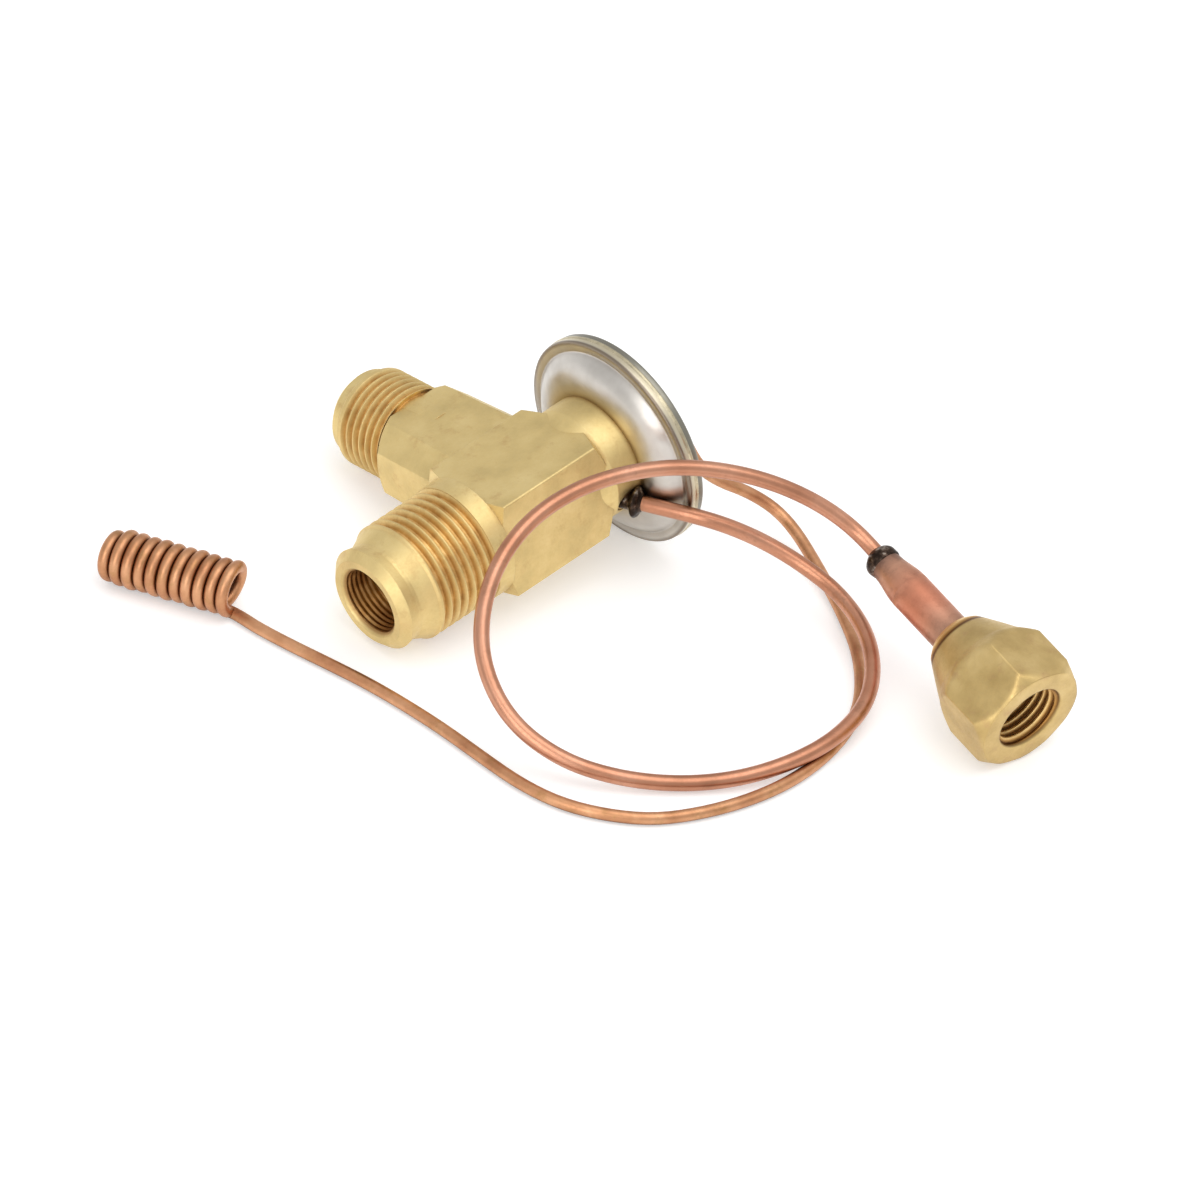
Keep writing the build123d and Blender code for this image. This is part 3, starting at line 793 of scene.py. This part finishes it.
def lump(name, look, origin, along, across):
    # a ring of braze: a turned outline whose radius is uneven by three sines of angle and
    # station, from nothing near the tube to the full amount on the outside
    outline = soften(look["outline"])
    angle = circle(look["around"])[None, :]
    s = outline[:, :1]
    r = outline[:, 1:]
    shape = sum(
        size * np.sin(waves * angle + shift + slant * s) for size, waves, shift, slant in brazeWaves
    )
    radii = r + look["uneven"] * np.clip((r - brazeFrom) / brazeOver, 0, 1) * shape
    rows = turned(origin, along, across, outline[:, 0], radii, look["around"])
    return skin(name, rows, brazeDark, True)


collarLook = {
    "around": 72,
    "uneven": 0.10,
    "outline": [
        (-2.2, 1.1), (-2.2, 1.4), (-0.2, 1.45), (0.55, 1.5), (0.8, 2.2),
        (1.25, 2.5), (1.65, 2.2), (1.9, 1.6), (2.3, 1.28), (2.3, 1.1),
    ],
}
portAcross = headDir - np.dot(headDir, portLean) * portLean
portAcross = portAcross / np.linalg.norm(portAcross)
portCollar = lump("port_collar", collarLook, portMouth, portLean, portAcross)
dress(portCollar, "braze_dark", "valve", "equaliser_braze")

capLook = {
    "around": 72,
    "uneven": 0.08,
    "outline": [
        (-1.8, 1.1), (-1.7, 1.4), (-1.2, 2.0), (-0.8, 2.45), (-0.2, 2.62),
        (0.6, 2.62), (1.1, 2.5), (1.1, 2.2), (0.0, 2.2), (0.0, 1.1),
    ],
}
stubCap = lump("stub_cap", capLook, stubStart, stubDir, stubAcross)
dress(stubCap, "braze_dark", "valve", "stub_braze")

# flare nut: one closed skin, over the outside, across the front face and back down the thread
nutLook = {
    "around": 360,
    "outline": [
        (17.4, 3.3), (17.45, 4.1), (18.3, 5.0), (19.4, 5.6), (21.5, 6.7),
        (24.5, 8.2), (27.3, 10.3), (33.7, 10.3), (35.7, 8.75),
    ],
    "steps": 16,  # for each side of the outline
    "flats": 8.73,  # half the width over the flats
    "worn": 0.24,
    "entry": 5.75,
    "faceSteps": 10,
    "faceRise": 0.06,
    "thread": (35.5, 25.2, -0.09),
    "pitch": 1.27,
    "root": 5.5,
    "ridge": 0.66,
    "crest": (1.5, 0.2),  # flank's gain and the amount taken off it, cut to between 0 and 1
    "fade": (25.3, 35.45, 0.8),
    "endStations": (25.1, 23.6, 20.5),  # the last ring joins the first of the outline
    "endRadii": (4.95, 3.3, 3.3),
}
around = nutLook["around"]
corners = np.array(nutLook["outline"])
share = np.linspace(0, 1, nutLook["steps"], endpoint=False)[None, :, None]
outline = (corners[:-1, None] + share * np.diff(corners, axis=0)[:, None]).reshape(-1, 2)
# a flat's distance from the axis is half the width over the cosine of the angle from its middle
flat = np.abs((circle(around) % (math.pi / 3)) - math.pi / 6)
hexagon = nutLook["flats"] / np.cos(flat)
# smooth minimum of the hexagon and the turned outline, which wears the edges: minus the width of
# wear times the logarithm of the sum of the two falling exponentials
worn = nutLook["worn"]
smaller = -worn * np.log(np.exp(-outline[:, 1:] / worn) + np.exp(-hexagon[None, :] / worn))
outerRows = turned(stubStart, stubDir, stubAcross, outline[:, 0], smaller, around)
# the front face: rings from the rim to the entry, raised by half a sine
share = np.linspace(0, 1, nutLook["faceSteps"])
rimStation, rimRadius = nutLook["outline"][-1]
faceStations = rimStation + nutLook["faceRise"] * np.sin(math.pi * share)
faceRadii = rimRadius + share * (nutLook["entry"] - rimRadius)
faceRadii = np.minimum(faceRadii[:, None], smaller[-1][None, :])
faceRows = turned(stubStart, stubDir, stubAcross, faceStations, faceRadii, around)
# the thread: the root's radius less the ridge, its crests flattened, faded at both ends
threadStations = np.arange(*nutLook["thread"])
gain, taken = nutLook["crest"]
ridge = threadRidge(threadStations, nutLook["pitch"], around)
ridge = np.clip(gain * ridge - taken, 0, 1)
fade = fadeEnds(threadStations, *nutLook["fade"])
threadRadii = nutLook["root"] - nutLook["ridge"] * ridge * fade
threadRows = turned(stubStart, stubDir, stubAcross, threadStations, threadRadii, around)
endRows = turned(
    stubStart, stubDir, stubAcross, nutLook["endStations"], nutLook["endRadii"], around
)
nutRows = np.concatenate((outerRows, faceRows, threadRows, endRows))
nut = dress(skin("nut_shape", nutRows, brassNut, True), "brass_nut", "nut", "flare_nut")

# head shells, pressed from sheet
lowerLook = {
    "around": 160,
    "outline": [
        (14.2, 7.4), (14.2, 7.4), (14.2, 9.3), (14.22, 10.3), (14.5, 11.6), (15.05, 12.95),
        (15.8, 14.05), (16.6, 14.85), (17.05, 15.25), (17.12, 15.45), (17.1, 15.6), (17.0, 16.2),
        (17.0, 16.7), (17.15, 17.0), (17.5, 17.05), (18.35, 17.0), (18.35, 17.0), (18.35, 14.5),
        (18.35, 14.5), (17.5, 14.2), (16.5, 13.1), (15.6, 11.4), (15.2, 9.4), (15.2, 7.4),
        (15.2, 7.4),
    ],
}
lower = turnedSkin("lower_dish", lowerLook, centre, headDir, inletDir, steelHead)
dress(lower, "steel_head", "valve", "head_lower_shell")
upperLook = {
    "around": 160,
    "outline": [
        (18.52, 14.5), (18.52, 14.5), (18.52, 17.0), (18.52, 17.0), (19.4, 17.05), (19.7, 16.95),
        (19.8, 16.6), (19.77, 15.9), (20.0, 15.3), (20.9, 14.25), (21.9, 12.2), (22.8, 9.0),
        (23.3, 6.0), (23.55, 4.0), (23.85, 3.0), (24.3, 2.65), (24.6, 2.5), (24.6, 2.5),
        (24.6, 0.97), (24.6, 0.97), (22.9, 0.97), (22.9, 0.97), (22.5, 5.2), (22.1, 7.7),
        (21.4, 10.4), (20.6, 12.5), (19.7, 13.9),
    ],
}
upper = turnedSkin("upper_dome", upperLook, centre, headDir, inletDir, steelHead)
dress(upper, "steel_head", "valve", "head_upper_shell")

# inner thread of the outlet bore, from the mouth to the adjusting nut: an open lining, its rows
# run towards the mouth so that its faces point into the hole
boreLook = {
    "around": 120,
    "low": -31.75,
    "high": -23.9,
    "step": 0.065,
    "fade": 0.5,
    "pitch": 0.9,
    "root": 5.24,
    "ridge": 0.20,
}
low, high = boreLook["low"], boreLook["high"]
boreStations = np.arange(low, high, boreLook["step"])[::-1]
ridge = threadRidge(boreStations, boreLook["pitch"], boreLook["around"])
fade = fadeEnds(boreStations, low, high, boreLook["fade"])
boreRadii = boreLook["root"] - boreLook["ridge"] * ridge * fade
boreRows = turned(centre, headDir, inletDir, boreStations, boreRadii, boreLook["around"])
dress(skin("bore_thread", boreRows, shadedBrassBore), "brass_body", "valve")
print("pieces done")

equaliserLong = lineLength(equaliser)
sensingLong = lineLength(sensing)
print("lines", round(equaliserLong, 4), round(sensingLong, 4))

stageLook = {
    "half": 3,
    "colour": (0.76, 0.76, 0.76, 1),
    "rough": 0.9,
    "glow": 0.38,
    "world": 0.74,
    "aim": (0, -0.03, 0),
    "top": {"place": (0.05, -0.25, 0.9), "size": (0.8, 0.8), "watts": 3.2},
    "right": {"place": (0.9, -0.1, 0.5), "size": (0.5, 0.8), "watts": 0.3},
    "left": {"place": (-0.8, -0.35, 0.45), "size": (0.5, 0.8), "watts": 2.8},
}
half = stageLook["half"]
floorData = bpy.data.meshes.new("floor")
floorCorners = [(-half, -half, 0), (half, -half, 0), (half, half, 0), (-half, half, 0)]
floorData.from_pydata(floorCorners, [], [(0, 1, 2, 3)])
floor = bpy.data.objects.new("floor", floorData)
bpy.context.scene.collection.objects.link(floor)
floorMat, tree, shader = newMaterial("floor_white")
shader.inputs["Base Color"].default_value = stageLook["colour"]
shader.inputs["Roughness"].default_value = stageLook["rough"]
# a little glow for the rays that show the floor, none for those that light the part
rays = tree.nodes.new("ShaderNodeLightPath")
seen = combine(tree, "MAXIMUM", rays.outputs["Is Camera Ray"], rays.outputs["Is Glossy Ray"])
seen = combine(tree, "MAXIMUM", seen, rays.outputs["Is Transmission Ray"])
glow = tree.nodes.new("ShaderNodeEmission")
tree.links.new(combine(tree, "MULTIPLY", seen, stageLook["glow"]), glow.inputs["Strength"])
plus = tree.nodes.new("ShaderNodeAddShader")
tree.links.new(shader.outputs[0], plus.inputs[0])
tree.links.new(glow.outputs[0], plus.inputs[1])
tree.links.new(plus.outputs[0], tree.nodes["Material Output"].inputs[0])
floorData.materials.append(floorMat)

world = bpy.data.worlds.new("studio")
bpy.context.scene.world = world
world.use_nodes = True
ground = world.node_tree.nodes["Background"]
ground.inputs["Color"].default_value = (1, 1, 1, 1)
ground.inputs["Strength"].default_value = stageLook["world"]


def panel(name, look):
    data = bpy.data.lights.new(name, "AREA")
    data.shape = "RECTANGLE"
    data.size, data.size_y = look["size"]
    data.energy = look["watts"]
    lamp = bpy.data.objects.new(name, data)
    bpy.context.scene.collection.objects.link(lamp)
    lamp.location = look["place"]
    aimed = Vector(stageLook["aim"]) - Vector(look["place"])
    lamp.rotation_mode = "QUATERNION"
    lamp.rotation_quaternion = aimed.to_track_quat("-Z", "Y")


panel("top_light", stageLook["top"])
panel("right_light", stageLook["right"])
panel("left_light", stageLook["left"])
print("stage done")
